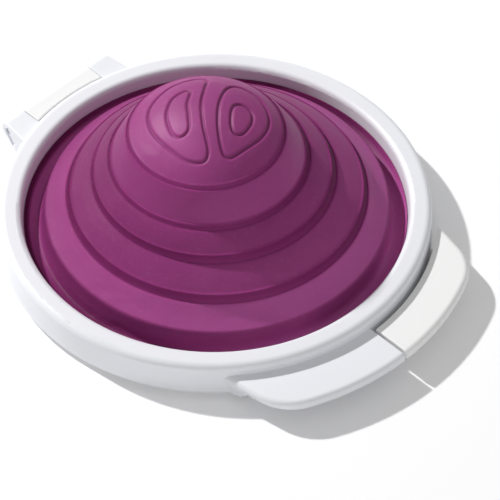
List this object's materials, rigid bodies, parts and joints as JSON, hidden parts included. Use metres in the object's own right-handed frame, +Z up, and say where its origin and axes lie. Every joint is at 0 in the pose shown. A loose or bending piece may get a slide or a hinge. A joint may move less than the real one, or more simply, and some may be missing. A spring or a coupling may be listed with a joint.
{
  "type": "onion keeper",
  "caption": "Round food keeper for a cut onion: flat base tray, hinged ring-shaped lid with paired opening tabs, and a stepped stretchy dome over the onion.",
  "frame": {"origin": "on the dome's axis, at the flat underside of the base tray", "axes": "+Z up through the dome's crown, -Y towards the opening tabs, +Y towards the hinge"},
  "size_m": [0.1256, 0.1463, 0.0513],
  "materials": {
    "tray_plastic": "satin moulded, warm white",
    "frame_plastic": "satin moulded, cool white",
    "dome_silicone": "satin, purple, slightly translucent",
    "pin_steel": "plain drawn wire"
  },
  "bodies": {
    "base": {"base_tray": "tray_plastic", "hinge_pin": "pin_steel"},
    "lid": {"lid_frame": "frame_plastic", "silicone_dome": "dome_silicone"}
  },
  "joints": [
    {"name": "lid_hinge", "type": "hinge", "parent": "base", "child": "lid", "pos_m": [0, 0.06693, 0.0081], "axis": [-1, 0, 0], "range_deg": [0, 140]}
  ]
}
